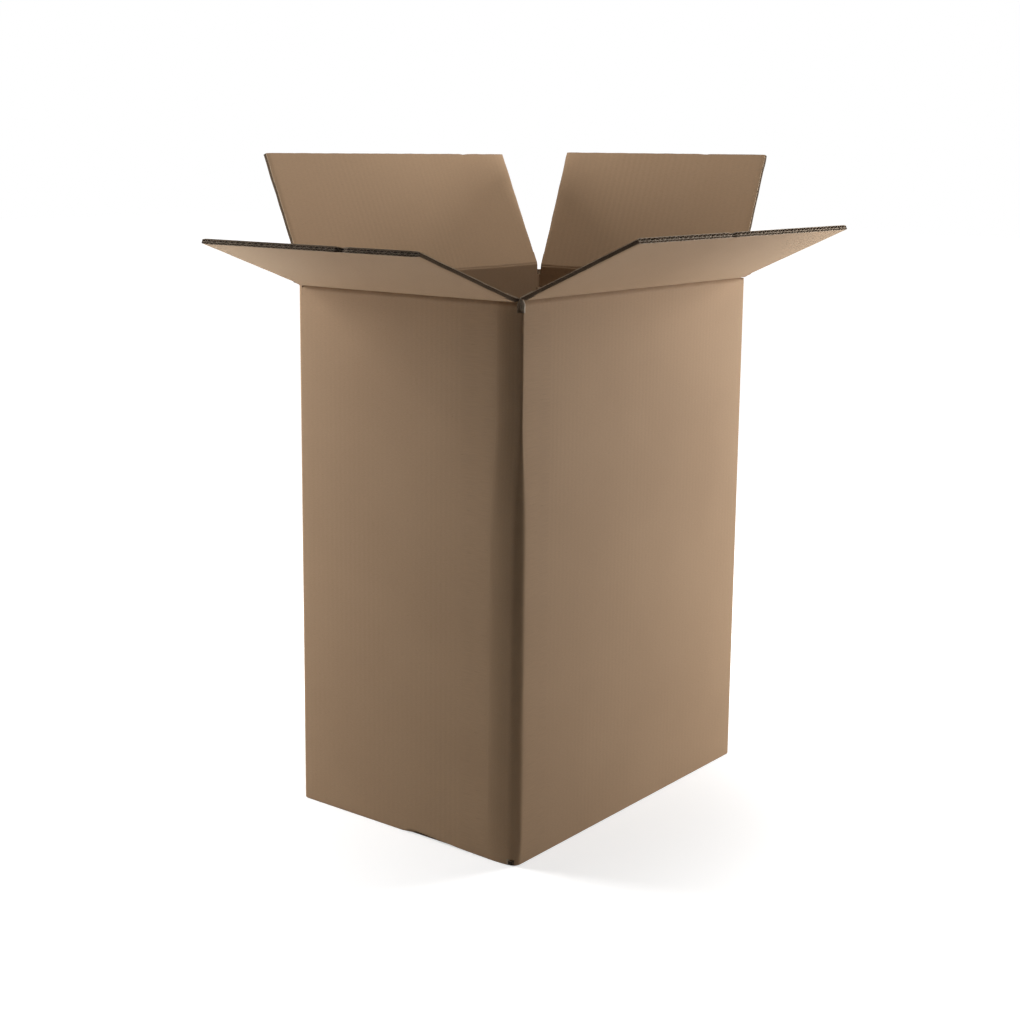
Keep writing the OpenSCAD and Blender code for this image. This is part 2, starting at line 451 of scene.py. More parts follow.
def front_fold(level):
    """Front fold: one soft bend up to a ridge and a second one on to the front wall."""
    fold = mixed(LOWER_FOLD, UPPER_FOLD, smooth(level, UPPER_FROM, UPPER_TO))
    fold = mixed(fold, FOOT_FOLD, FOOT_SHARE * (1 - smooth(level, 0.0, FOOT_TO)))
    half = CORNER_STEPS // 2 - 1
    rows = [(FLAT_BEFORE, 0.0)]
    for step in range(half + 1):
        share = step / half
        along_end = bend(share, fold["start"], fold["knee"], fold["ridge"])
        rows.append((along_end * MM, bend(share, 0.0, 0.0, fold["depth"]) * MM))
    for step in range(1, half + 1):
        share = step / half
        along_front = bend(share, fold["depth"], fold["turn"], fold["end"])
        rows.append((bend(share, fold["ridge"], 0.0, 0.0) * MM, along_front * MM))
    return rows + [(0.0, FLAT_AFTER)]


print("points of a fold:", len(side_fold()), "side,", len(front_fold(0.0)), "front")

# %% [markdown]
# The pocket is three points of the front fold, pushed in. The path round the glued corner runs along
# the end wall, over its raw edge and round the fold of the lap.

# %% Pocket and glued corner
POCKET_FOOT, POCKET_TOP, POCKET_DEPTH = 0.3 * MM, 6.5 * MM, 5 * MM
POCKET_POINTS, POCKET_FACES = range(9, 12), range(8, 12)
SEAM_FOLD, SEAM_FLAT = 4 * MM, 12 * MM
RAW_BACK, RAW_ROUND, RAW_FOOT = 0.4 * MM, 0.15 * MM, 2.5 * MM
RAW_FACES = range(4, 9)


def pocket_path(level):
    """The front fold with a small pocket pushed into it, where two base flaps part."""
    return [(a, b + POCKET_DEPTH) if step in POCKET_POINTS else (a, b)
            for step, (a, b) in enumerate(front_fold(level))]


def seam_points():
    """Path round the glued corner, from the end wall to the long wall."""
    rows = [(SEAM_FLAT * share, 0.0) for share in (1, 2 / 3, 1 / 3, 1 / 12)]
    rows.append((RAW_BACK, RAW_ROUND))
    rows += [(RAW_BACK, BOARD * share) for share in (0.25, 0.5, 0.75, 0.92)]
    rows += [(RAW_FOOT, BOARD - RAW_ROUND), (SEAM_FOLD, BOARD)]
    for angle in range(75, -15, -15):
        turn = math.radians(angle)
        rows.append((SEAM_FOLD * (1 - math.cos(turn)), BOARD + SEAM_FOLD * (1 - math.sin(turn))))
    return rows + [(0.0, SEAM_FLAT), (0.0, SEAM_FLAT + SEAM_FOLD)]


print("points of the glued corner:", len(seam_points()))

# %% [markdown]
# The ring is a list of stations. Each station has a function of height for its outer place, so the
# same station can lie on a fold higher up and in the pocket at the foot.

# %% One ring of the walls
# The wall before each corner, and the corner's side of the box in x and y.
CORNERS = [("back", (-1, 1)), ("left", (-1, -1)), ("front", (1, -1)), ("right", (1, 1))]
FRONT_FOLD, SEAM = 1, 3
STRAIGHT_STEPS = 20
INNER_FOLD, SEAM_INNER_FOLD = 4 * MM, 1 * MM
FOOT_RADIUS = 1.8 * MM


def to_plan(index, along_first, along_second, inset=0.0):
    """Place on the floor plan from the distances of a point to the two walls of a corner."""
    wall_before, signs = CORNERS[index]
    if wall_before in ("left", "right"):
        along_first, along_second = along_second, along_first
    return (signs[0] * (LENGTH / 2 - inset - along_first),
            signs[1] * (WIDTH / 2 - inset - along_second))


def corner_path(index, level):
    """Distances of the outer points of one corner to its two walls."""
    if index == SEAM:
        return seam_points()
    if index != FRONT_FOLD:
        return side_fold()
    return pocket_path(level) if POCKET_FOOT < level < POCKET_TOP else front_fold(level)


def corner_paper(index, step, level):
    """Paper of the face that follows one outer point of a corner."""
    if index == SEAM and step in RAW_FACES:
        return CUT
    if index == FRONT_FOLD and 0.0 < level < POCKET_TOP and step in POCKET_FACES:
        return EDGE
    return OUTER


def inner_corner(index, count):
    """Inner points round one corner, a small round fold."""
    radius = SEAM_INNER_FOLD if index == SEAM else INNER_FOLD
    rows = []
    for step in range(count):
        angle = math.pi / 2 * step / (count - 1)
        near, far = radius * (1 - math.sin(angle)), radius * (1 - math.cos(angle))
        rows.append(to_plan(index, near, far, BOARD))
    return rows


def ring(level):
    """Outer and inner points of the ring at one height, with their papers and sheet places."""
    foot = 0.0
    if level < FOOT_RADIUS:
        foot = FOOT_RADIUS - math.sqrt(FOOT_RADIUS ** 2 - (FOOT_RADIUS - level) ** 2)
    paths = [corner_path(i, level) for i in range(4)]
    corners_out = [[to_plan(i, *point, foot) for point in paths[i]] for i in range(4)]
    corners_in = [inner_corner(i, len(paths[i])) for i in range(4)]
    outer, inner, papers, sheet = [], [], [], []
    spans = [0.0, LENGTH, LENGTH + WIDTH, 2 * LENGTH + WIDTH, 2 * (LENGTH + WIDTH)]
    for i in range(4):
        before = (i - 1) % 4
        a_out, b_out = corners_out[before][-1], corners_out[i][0]
        a_in, b_in = corners_in[before][-1], corners_in[i][0]
        low, high = spans[i] + paths[before][-1][1], spans[i + 1] - paths[i][0][0]
        for step in range(1, STRAIGHT_STEPS):
            share = step / STRAIGHT_STEPS
            outer.append(tuple(a + (b - a) * share for a, b in zip(a_out, b_out)))
            inner.append(tuple(a + (b - a) * share for a, b in zip(a_in, b_in)))
            papers.append(OUTER)
            sheet.append(low + (high - low) * share)
        count = len(paths[i])
        after = spans[i + 1] + paths[i][-1][1]
        for step in range(count):
            outer.append(corners_out[i][step])
            inner.append(corners_in[i][step])
            papers.append(corner_paper(i, step, level))
            sheet.append(high + (after - high) * step / (count - 1))
    return outer, inner, papers, sheet


print("stations of the ring:", len(ring(0.0)[0]))

# %% [markdown]
# The rings lie close together at the foot, at the pocket and where the front fold changes. The foot
# of an end wall stands a little off the floor beside the base flap that droops there.

# %% Loft the walls
LEVELS = [0.0, 0.28, 0.32, 0.7, 1.2, 1.8, 4.0, 6.45, 6.55, 9, 12, 15, 19, 25, 40, 80, 130, 190, 250,
          310, 335, 360, 380, 400, 420, 440, 480, 515]
LEVELS = [level * MM for level in LEVELS] + [SLOT_LEVEL]
END_LIFT, LIFT_TOP = 3.6 * MM, 20 * MM
LIFT_FULL, LIFT_END = 10 * MM, 100 * MM


def foot_lift(x, y, level):
    """How far the foot of an end wall stands off the floor beside the drooping base flap."""
    if abs(x) < LENGTH / 2 - 2 * BOARD:
        return 0.0
    near = -y if x < 0 else y
    raised = smooth(near, 0.0, LIFT_FULL) * (1 - smooth(near, LIFT_FULL, LIFT_END))
    return END_LIFT * raised * (1 - smooth(level, 0.0, LIFT_TOP))


def make_walls():
    points, sheet, faces, papers = [], [], [], []
    for level in LEVELS:
        outer, inner, ring_papers, places = ring(level)
        count = len(outer)
        for line, depth in ((outer, 0.0), (inner, BOARD)):
            for (x, y), place in zip(line, places):
                points.append((x, y, level + foot_lift(x, y, level)))
                sheet.append((place, level, depth))
        if level != LEVELS[0]:
            here = len(points) - 2 * count
            below = here - 2 * count
            for k in range(count):
                n = (k + 1) % count
                faces.append((below + k, below + n, here + n, here + k))
                papers.append(last_papers[k])
                faces.append((below + count + n, below + count + k,
                              here + count + k, here + count + n))
                papers.append(INNER)
        last_papers = ring_papers
    top = len(points) - 2 * count
    for k in range(count):
        n = (k + 1) % count
        faces.append((n, k, count + k, count + n))
        papers.append(OUTER)
        faces.append((top + k, top + n, top + count + n, top + count + k))
        papers.append(CUT)
    return add_piece("box_walls", points, faces, papers, sheet)


walls = make_walls()
print("walls:", len(walls.data.polygons), "faces")

# %% [markdown]
# At three corners the slot stops near the score line, so the fold stands up between the two flaps.
# Each of these corner tops is the outline of a small fold, raised. Its two inner faces take the dark
# cut-edge paper as painted shade of the inside of the corner.

# %% Corner tops
POST_TOP = {0: SCORE + 0.6 * MM, 2: SCORE + 0.6 * MM, SEAM: SCORE - 4.2 * MM}
POST_GAP = 0.15 * MM


def make_corner_top(index):
    reach = SLOT_INSET - POST_GAP
    path = [(reach, 0.0), *side_fold(), (0.0, reach)]
    outer = [to_plan(index, *point) for point in path]
    inner = [to_plan(index, *point) for point in ((BOARD, reach), (BOARD, BOARD), (reach, BOARD))]
    outline = outer + inner
    # The two ends and the two inner faces take the cut-edge paper; on the inner faces it is painted
    # shade.
    kinds = [OUTER] * (len(outer) - 1) + [CUT] * 4
    points, sheet = [], []
    spans = [LENGTH, LENGTH + WIDTH, 2 * LENGTH + WIDTH, 0.0]
    for level in (SLOT_LEVEL, POST_TOP[index]):
        for k, (x, y) in enumerate(outline):
            points.append((x, y, level))
            along = path[k][1] - path[k][0] if k < len(path) else 0.0
            sheet.append((spans[index] + along, level, 0.0 if k < len(path) else BOARD))
    faces = prism_faces(len(outline), 2)
    return add_piece(f"corner_top_{index}", points, faces, kinds + [CUT, CUT], sheet)


corner_tops = [make_corner_top(index) for index in POST_TOP]
print("corner tops:", [len(piece.data.polygons) for piece in corner_tops])

# %% [markdown]
# ## Corrugated board with Geometry Nodes
#
# Real board is glued from five papers, and so is this one. Each fluted paper is a grid raised into
# waves and given its thickness; each liner is a thin plate. Waves follow a rule, so a node tree
# makes them from the size of the flap. Three more plates close the board: the slotting knife crushed
# its two sides, and a plate a little behind the free edge closes the hollows, with their shade
# painted on it as dark bands.

# %% Papers of the board
WAVE_POINTS, WAVE_WANDER, WAVE_SHIFT = 12.0, 30.0, 1.2
WELD = 0.001 * MM
PLATE_STEP = 4 * MM
CAP_THICK, CAP_LAYERS = 0.4 * MM, 8
CAP_SUNK = 0.4 * CAP_THICK
END_INSET, END_THICK = 2 * MM, 0.6 * MM


def split(net, kind):
    """The three parts of a field: GeometryNodeInputPosition or GeometryNodeInputNormal."""
    return net.add("ShaderNodeSeparateXYZ", {"Vector": net.add(kind).outputs[0]}).outputs


def vector(net, x, y, z):
    return net.add("ShaderNodeCombineXYZ", {"X": x, "Y": y, "Z": z}).outputs[0]


def half(net, value):
    return net.times(value, 0.5)


def line_noise(net, place, seed, scale, detail):
    """Noise along one direction, between 0 and 1."""
    node = net.add("ShaderNodeTexNoise", {"Scale": scale, "Detail": detail}, noise_dimensions="1D")
    net.put(node.inputs["W"], net.plus(place, seed))
    return node.outputs[0]


def grid_wave(net, ins, pitch, height, base, seed):
    """A fluted paper between two liners, with its own thickness."""
    waves = net.over(ins["Width"], pitch)
    columns = net.plus(net.math("FLOOR", net.times(waves, WAVE_POINTS)), 1.0)
    grid = net.add("GeometryNodeMeshGrid", {
        "Size X": ins["Width"], "Size Y": ins["Length"],
        "Vertices X": columns, "Vertices Y": ins["Rows"],
    })
    x, y, _ = split(net, "GeometryNodeInputPosition")
    wander = line_noise(net, x, net.plus(ins["Seed"], seed), WAVE_WANDER, 1.0)
    angle = net.times(net.over(x, pitch), 2 * math.pi)
    angle = net.plus(angle, net.times(wander, WAVE_SHIFT))
    swing = half(net, net.minus(height, ins["Medium"]))
    lift = net.plus(base, swing)
    z = net.plus(lift, net.times(net.math("SINE", angle), swing))
    raised = net.add("GeometryNodeSetPosition", {
        "Geometry": grid.outputs["Mesh"],
        "Position": vector(net, x, net.plus(y, half(net, ins["Length"])), z),
    }).outputs[0]
    thick = net.add("GeometryNodeExtrudeMesh", {
        "Mesh": raised, "Offset Scale": ins["Medium"], "Individual": False,
    }, mode="FACES").outputs[0]
    under = net.add("GeometryNodeFlipFaces", {"Mesh": raised}).outputs[0]
    joined = net.add("GeometryNodeJoinGeometry")
    net.tree.links.new(thick, joined.inputs[0])
    net.tree.links.new(under, joined.inputs[0])
    return net.add("GeometryNodeMergeByDistance", {
        "Geometry": joined.outputs[0], "Distance": WELD,
    }).outputs[0]


def plate(net, size, counts, middle):
    """A plate of this size, with so many points along its sides, moved to its middle."""
    inputs = dict(zip(("Vertices X", "Vertices Y", "Vertices Z"), counts))
    cube = net.add("GeometryNodeMeshCube", {"Size": vector(net, *size), **inputs})
    return net.add("GeometryNodeSetPosition", {
        "Geometry": cube.outputs["Mesh"], "Offset": vector(net, *middle),
    }).outputs[0]


def plate_columns(net, ins):
    """Points along a plate, enough to follow the dents."""
    return net.plus(net.math("FLOOR", net.over(ins["Width"], PLATE_STEP)), 2.0)


def flat_paper(net, ins, base):
    """A liner."""
    size = ins["Width"], ins["Length"], ins["Liner"]
    middle = 0.0, half(net, ins["Length"]), net.plus(base, half(net, ins["Liner"]))
    return plate(net, size, (plate_columns(net, ins), ins["Rows"], 2), middle)


def side_cap(net, ins, board, sign):
    """Crushed side of a board, where the slotting knife closed the flutes."""
    reach = net.minus(half(net, ins["Width"]), CAP_SUNK)
    middle = net.times(reach, sign), half(net, ins["Length"]), half(net, board)
    return plate(net, (CAP_THICK, ins["Length"], board), (2, ins["Rows"], CAP_LAYERS), middle)


def hollow_shade_plate(net, ins, board):
    """Plate a little behind the free edge that closes the hollows, so that they are shallow; it stands
    in for their shade.
    """
    height = net.minus(board, net.times(ins["Liner"], 1.5))
    size = net.minus(ins["Width"], END_INSET), END_THICK, height
    middle = 0.0, net.minus(ins["Length"], ins["Hollow"]), half(net, board)
    return plate(net, size, (plate_columns(net, ins), 2, 2), middle)


print("plates have a point every", round(PLATE_STEP / MM), "mm, waves", int(WAVE_POINTS), "points each")

# %% [markdown]
# Each face keeps the number of its paper as an attribute, chosen by the way that the face looks. The
# liners show kraft outside and bare paper inside; the ends of the flutes show a torn edge.

# %% Marks of the papers
def store(net, geometry, name, value, kind="INT", domain="FACE"):
    return net.add("GeometryNodeStoreNamedAttribute", {
        "Geometry": geometry, "Name": name, "Value": value,
    }, data_type=kind, domain=domain).outputs[0]


def mark_paper(net, geometry, up, down, side):
    """Marks a liner by its two faces and its sides. Its ends show a torn edge."""
    normal = split(net, "GeometryNodeInputNormal")
    is_up = net.math("GREATER_THAN", normal[2], 0.5)
    is_down = net.math("LESS_THAN", normal[2], -0.5)
    is_side = net.math("GREATER_THAN", net.math("ABSOLUTE", normal[0]), 0.5)
    value = EDGE
    for looks, paper in ((is_up, up), (is_down, down), (is_side, side)):
        value = net.plus(value, net.times(looks, paper - EDGE))
    return store(net, geometry, "paper", value)


def mark_flute(net, geometry):
    """Fluted paper everywhere, and a torn edge on its ends."""
    normal = split(net, "GeometryNodeInputNormal")
    end = net.math("GREATER_THAN", net.math("ABSOLUTE", normal[1]), 0.7)
    value = net.plus(FLUTE, net.times(end, EDGE - FLUTE))
    return store(net, geometry, "paper", value)


print("paper marks:", {"outer": OUTER, "inner": INNER, "slot": SLOT, "flute": FLUTE})

# %% [markdown]
# The next part of the tree wears the board: its slotted sides are squeezed, its edges wander a
# little, and one knock dents the free edge. The places are worked out from the flat board, then set
# in one Set Position node, so the five papers move together. Rows of points crowd towards the free
# edge, where the dent needs them.

# %% Wear of the board
ROW_CROWDING = 1.7
SQUEEZE_REACH, EDGE_REACH = 5 * MM, 12 * MM
DENT_REACH, DENT_PINCH = 4.5 * MM, 130.0
SIDE_WANDER, EDGE_WANDER, WANDER_DETAIL = 45.0, 60.0, 3.0
SIDE_RAGGED = 4.0


def ragged(net, ins, place, scale):
    """Wander of an edge to both sides."""
    noise = line_noise(net, place, ins["Seed"], scale, WANDER_DETAIL)
    return net.times(net.minus(noise, 0.5), ins["Ragged"])


def wear(net, ins, geometry, board):
    """Squeezed sides, wandering edges and one dent, all from the flat places."""
    x, y, z = split(net, "GeometryNodeInputPosition")
    rest = net.minus(1.0, net.over(y, ins["Length"]))
    crowded = net.minus(1.0, net.math("POWER", rest, ROW_CROWDING))
    y = net.times(ins["Length"], crowded)
    side = net.minus(half(net, ins["Width"]), net.math("ABSOLUTE", x))
    near_side = net.ramp(side, 0.0, SQUEEZE_REACH, 1.0, 0.0)
    near_edge = net.ramp(net.minus(ins["Length"], y), 0.0, EDGE_REACH, 1.0, 0.0)
    apart = net.over(net.minus(x, ins["Dent Place"]), DENT_REACH)
    bell = net.math("EXPONENT", net.times(net.times(apart, apart), -1.0))
    dent = net.times(bell, near_edge)
    squeeze = net.minus(1.0, net.times(ins["Squeeze"], near_side))
    knock = net.times(dent, net.times(ins["Dent Depth"], DENT_PINCH))
    squeeze = net.times(squeeze, net.minus(1.0, knock))
    middle = half(net, board)
    z = net.plus(middle, net.times(net.minus(z, middle), squeeze))
    away = net.times(net.math("SIGN", x), near_side)
    sideways = net.times(ragged(net, ins, y, SIDE_WANDER), SIDE_RAGGED)
    x = net.plus(x, net.times(sideways, away))
    y = net.plus(y, net.times(ragged(net, ins, x, EDGE_WANDER), near_edge))
    y = net.minus(y, net.times(dent, ins["Dent Depth"]))
    return net.add("GeometryNodeSetPosition", {
        "Geometry": geometry, "Position": vector(net, x, y, z),
    }).outputs[0]


def store_sheet(net, ins, geometry):
    """The place on the flat blank and the depth in the board, for the papers' patterns."""
    x, y, z = split(net, "GeometryNodeInputPosition")
    across = net.minus(ins["Sheet Start"], x)
    place = vector(net, across, net.plus(ins["Sheet Height"], y), z)
    return store(net, geometry, "sheet", place, "FLOAT_VECTOR", "POINT")


print("a dent reaches", round(EDGE_REACH / MM), "mm into the board")

# %% [markdown]
# The whole tree joins the papers, wears them and gives each face the material of its mark. Its inputs
# are the sizes of one board, so top flaps and base flaps share it.

# %% The whole tree
BOARD_INPUTS = {
    "Width": 0.3, "Length": 0.14, "Rows": 12, "Liner": LINER, "Medium": MEDIUM,
    "Fine Pitch": FINE_PITCH, "Fine Height": FINE_HEIGHT,
    "Coarse Pitch": COARSE_PITCH, "Coarse Height": COARSE_HEIGHT,
    "Squeeze": 0.25, "Ragged": 0.6 * MM, "Hollow": 16.5 * MM, "Dent Place": 0.0, "Dent Depth": 0.0,
    "Sheet Start": 0.0, "Sheet Height": 0.0, "Seed": 0.0,
}
FINE_SEED, COARSE_SEED = 3.0, 7.0


def board_papers(net, ins):
    """The marked papers and plates of a board, and its thickness."""
    fine = ins["Liner"]
    middle = net.plus(fine, ins["Fine Height"])
    coarse = net.plus(middle, ins["Liner"])
    inner = net.plus(coarse, ins["Coarse Height"])
    board = net.plus(inner, ins["Liner"])
    fine_wave = grid_wave(net, ins, ins["Fine Pitch"], ins["Fine Height"], fine, FINE_SEED)
    coarse_wave = grid_wave(net, ins, ins["Coarse Pitch"], ins["Coarse Height"], coarse, COARSE_SEED)
    return board, [
        mark_paper(net, flat_paper(net, ins, 0.0), FLUTE, OUTER, FLUTE),
        mark_flute(net, fine_wave),
        mark_paper(net, flat_paper(net, ins, middle), FLUTE, FLUTE, FLUTE),
        mark_flute(net, coarse_wave),
        mark_paper(net, flat_paper(net, ins, inner), INNER, FLUTE, EDGE),
        # The sides and the plate behind the free edge are solid; their papers paint the shade of the
        # hollows.
        store(net, side_cap(net, ins, board, -1.0), "paper", SLOT),
        store(net, side_cap(net, ins, board, 1.0), "paper", SLOT),
        store(net, hollow_shade_plate(net, ins, board), "paper", CUT),
    ]


def board_tree():
    tree = bpy.data.node_groups.new("corrugated_board", "GeometryNodeTree")
    tree.interface.new_socket("Geometry", in_out="INPUT", socket_type="NodeSocketGeometry")
    for name, value in BOARD_INPUTS.items():
        kind = "NodeSocketInt" if isinstance(value, int) else "NodeSocketFloat"
        tree.interface.new_socket(name, in_out="INPUT", socket_type=kind).default_value = value
    tree.interface.new_socket("Geometry", in_out="OUTPUT", socket_type="NodeSocketGeometry")
    net = Net(tree)
    ins = net.add("NodeGroupInput").outputs
    board, papers = board_papers(net, ins)
    joined = net.add("GeometryNodeJoinGeometry")
    for paper in reversed(papers):
        tree.links.new(paper, joined.inputs[0])
    shape = store_sheet(net, ins, wear(net, ins, joined.outputs[0], board))
    shape = net.add("GeometryNodeRealizeInstances", {"Geometry": shape}).outputs[0]
    mark = net.add("GeometryNodeInputNamedAttribute", {"Name": "paper"}, data_type="INT").outputs[0]
    for index, paper in enumerate(PAPERS):
        chosen = net.add("FunctionNodeCompare", {2: mark, 3: index}, data_type="INT", operation="EQUAL")
        shape = net.add("GeometryNodeSetMaterial", {
            "Geometry": shape, "Selection": chosen.outputs[0], "Material": paper,
        }).outputs[0]
    net.put(net.add("NodeGroupOutput").inputs[0], shape)
    return tree


BOARD_TREE = board_tree()
print("board tree:", len(BOARD_TREE.nodes), "nodes")

# %% [markdown]
# A board is made by an object with the tree as its modifier. The evaluated result becomes a plain
# mesh, which is then set in place by a matrix.

# %% Make one board
def make_board(name, place, **sizes):
    """Plain mesh object of a fluted board, moved by the matrix place."""
    holder = bpy.data.objects.new(name + "_holder", bpy.data.meshes.new(name + "_holder"))
    bpy.context.scene.collection.objects.link(holder)
    modifier = holder.modifiers.new("board", "NODES")
    modifier.node_group = BOARD_TREE
    for item in BOARD_TREE.interface.items_tree:
        if item.in_out == "INPUT" and item.name in sizes:
            modifier[item.identifier] = sizes[item.name]
    depsgraph = bpy.context.evaluated_depsgraph_get()
    mesh = bpy.data.meshes.new_from_object(holder.evaluated_get(depsgraph), depsgraph=depsgraph)
    bpy.data.objects.remove(holder)
    mesh.name = name
    mesh.transform(place)
    mesh.update()
    piece = bpy.data.objects.new(name, mesh)
    bpy.context.scene.collection.objects.link(piece)
    print(name, "has", len(mesh.polygons), "faces")
    return piece


# %% [markdown]
# ## The top flaps
#
# Each flap is a board that starts a little beyond its crease. Its frame leans out by the angle at
# rest. The knocks on the free edges are where the box shows them. On the left flap the plate of
# painted shade stands close behind the edge, so its hollows are shallow and its edge looks more even
# than the others.

# %% Four flap boards
ROOT = 14 * MM
FLAP_ROWS = 14
DENTS = {
    "left": (-45 * MM, 1.6 * MM), "front": (35.5 * MM, 1.6 * MM),
    "back": (120 * MM, 0.6 * MM), "right": (60 * MM, 0.6 * MM),
}
SEEDS = {"left": 11.0, "front": 23.0, "back": 37.0, "right": 53.0}
# Depth of the hollows on the flat board. Crowded rows make it about 0.5 mm and 4 mm.
HOLLOWS = {"left": 5 * MM, "front": 16.5 * MM, "back": 16.5 * MM, "right": 16.5 * MM}
TRIMS = {"back": (0.0, 3.0 * MM), "right": (1.2 * MM, 0.0)}


def flap_ends(body):
    """Places of the two ends of a flap along its wall. The slot at the glued corner is wider."""
    reach = WALLS[body]["flap_width"] / 2
    low, high = TRIMS.get(body, (0.0, 0.0))
    return low - reach, reach - high


def flap_place(wall):
    """Matrix from a board, outer face down, to its place on a wall's crease."""
    lean, depth = wall["lean"], wall["depth"]
    along = Vector((1, 0, 0))
    reach = Vector((0, math.sin(lean), math.cos(lean)))
    outward = Vector((0, math.cos(lean), -math.sin(lean)))
    turn = Matrix((along, reach, -outward)).transposed().to_4x4()
    corner = Vector((0, -depth, wall["level"])) + reach * ROOT + outward * depth
    return wall["frame"] @ Matrix.Translation(corner) @ turn


def sheet_height(wall):
    """Height on the flat blank at which a flap's board starts, read on its outer face."""
    return wall["level"] + ROOT - 2 * wall["depth"] * math.tan(wall["lean"] / 2)


flaps = {}
for body, wall in WALLS.items():
    dent, deep = DENTS[body]
    low, high = flap_ends(body)
    middle = (low + high) / 2
    flaps[body] = make_board(
        body + "_flap_board", flap_place(wall) @ Matrix.Translation((middle, 0, 0)), **{
            "Width": high - low, "Length": FLAP_LENGTH - (wall["level"] - SCORE) - ROOT,
            "Rows": FLAP_ROWS, "Hollow": HOLLOWS[body], "Seed": SEEDS[body],
            "Dent Place": dent, "Dent Depth": deep,
            "Sheet Start": wall["sheet_mid"] - middle, "Sheet Height": sheet_height(wall),
        })

# %% [markdown]
# ## The creases
#
# Between wall and flap the board is crushed along a score line. The outside pinches into a sharp
# valley with soft shoulders, and the inside keeps the groove of the scoring wheel. The piece runs
# from the slot level of the wall to the root of the flap, bent at rest as the flap leans. It is
# lofted from a profile that wanders a little, because a pressed line is never quite even.

# %% Profile of a crease
CREASE_MARKS = [8.0, 6.0, 4.6, 3.6, 2.8, 2.1, 1.5, 1.0, 0.6, 0.3]
MARKS_SHARE = 0.92
VALLEY, VALLEY_WIDTH = 2.3 * MM, 1.5 * MM
SHOULDER, SHOULDER_PLACE, SHOULDER_WIDTH = 0.3 * MM, 4.0 * MM, 1.6 * MM
GROOVE, GROOVE_WIDTH = 0.35 * MM, 0.9 * MM
LINE_WANDER, LINE_WAVE = 0.25 * MM, 110 * MM
PRESS_WANDER, PRESS_WAVE = 0.3, 45 * MM
SHEET_BLEND, END_FADE = 5 * MM, 2 * MM
INNER_PULL = 0.6


def drift(place, seed):
    """Smooth wander between about -1 and 1 along a line, with a wavelength of about one."""
    waves = ((1.0, 1.0), (2.3, 0.5), (4.1, 0.25))
    return sum(
        share * math.sin(place * 2 * math.pi * speed + seed * (3.7 + speed))
        for speed, share in waves
    ) / 1.75


def crease_marks(low, high):
    """Distances from the score line at which a profile has its points."""
    near = [-m * MM for m in CREASE_MARKS] + [0.0] + [m * MM for m in reversed(CREASE_MARKS)]
    span = min(-low, high) / (CREASE_MARKS[0] * MM) * MARKS_SHARE
    return [low] + [m * min(1.0, span) for m in near] + [high]


def bell(gap, width):
    return math.exp(-(gap / width) ** 2)


def crease_push(side, gap, strength):
    """How far the board is pressed in at one distance from the line, outside or inside."""
    if side < 0:
        return GROOVE * bell(gap, GROOVE_WIDTH) * strength
    shoulder = SHOULDER * bell(abs(gap) - SHOULDER_PLACE, SHOULDER_WIDTH)
    return VALLEY * bell(gap, VALLEY_WIDTH) * strength - shoulder


def crease_profile(wall, place, seed, recess):
    """Outer and inner points of the bent board at one place along the crease, with sheet heights."""
    lean, depth, level = wall["lean"], wall["depth"], wall["level"]
    inner = BOARD - depth
    slope = math.tan(lean / 2)
    reach = np.array((math.sin(lean), math.cos(lean)))
    outward = np.array((math.cos(lean), -math.sin(lean)))
    core = np.array((-depth, level))
    toward = np.array((-math.cos(lean / 2), math.sin(lean / 2)))
    wander = LINE_WANDER * drift(place / LINE_WAVE, seed)
    strength = 1.0 + PRESS_WANDER * drift(place / PRESS_WAVE, seed + 2.0)
    rows = []
    for side, offset, shift in ((1, depth, depth * slope), (-1, inner, -inner * slope)):
        fold = level - shift
        marks = crease_marks(SLOT_LEVEL - fold, ROOT - shift)
        line = []
        for mark in marks:
            wall_height = fold + mark
            flap_height = sheet_height(wall) - (ROOT - shift - mark)
            if mark < 0:
                point = np.array((0.0 if side > 0 else -BOARD, wall_height))
            else:
                point = core + (shift + mark) * reach + side * offset * outward
            share = float(mark >= 0) if side > 0 else smooth(mark, -SHEET_BLEND, SHEET_BLEND)
            height = wall_height + (flap_height - wall_height) * share
            pull = recess * (1.0 if side > 0 else INNER_PULL) * (1 - smooth(mark, 0.0, ROOT - shift))
            fade = smooth(min(mark - marks[0], marks[-1] - mark), 0.0, END_FADE)
            push = crease_push(side, mark - wander, strength) * fade
            line.append((point - np.array((pull, 0.0)) + side * toward * push, height))
        rows.append(line)
    return rows


print("points of a profile:", 2 * len(crease_marks(-10 * MM, 10 * MM)))

# %% [markdown]
# The profiles stand close at the two ends, where the cut shows. Near the front corner a crease
# follows the front fold back, and the rim beside the slot shows torn paper.

# %% Four creases
RIM = 1.5 * MM
CREASE_COLUMNS = 90


def fold_recess(body, place):
    """How far the front fold pulls the board back at one place along a crease."""
    reach = WALLS[body]["span"] / 2
    rows = front_fold(SLOT_LEVEL)
    if body == "left":
        away, pairs = reach + place, sorted(rows)
    elif body == "front":
        away, pairs = reach - place, sorted((second, first) for first, second in rows)
    else:
        return 0.0
    return float(np.interp(away, *zip(*pairs)))


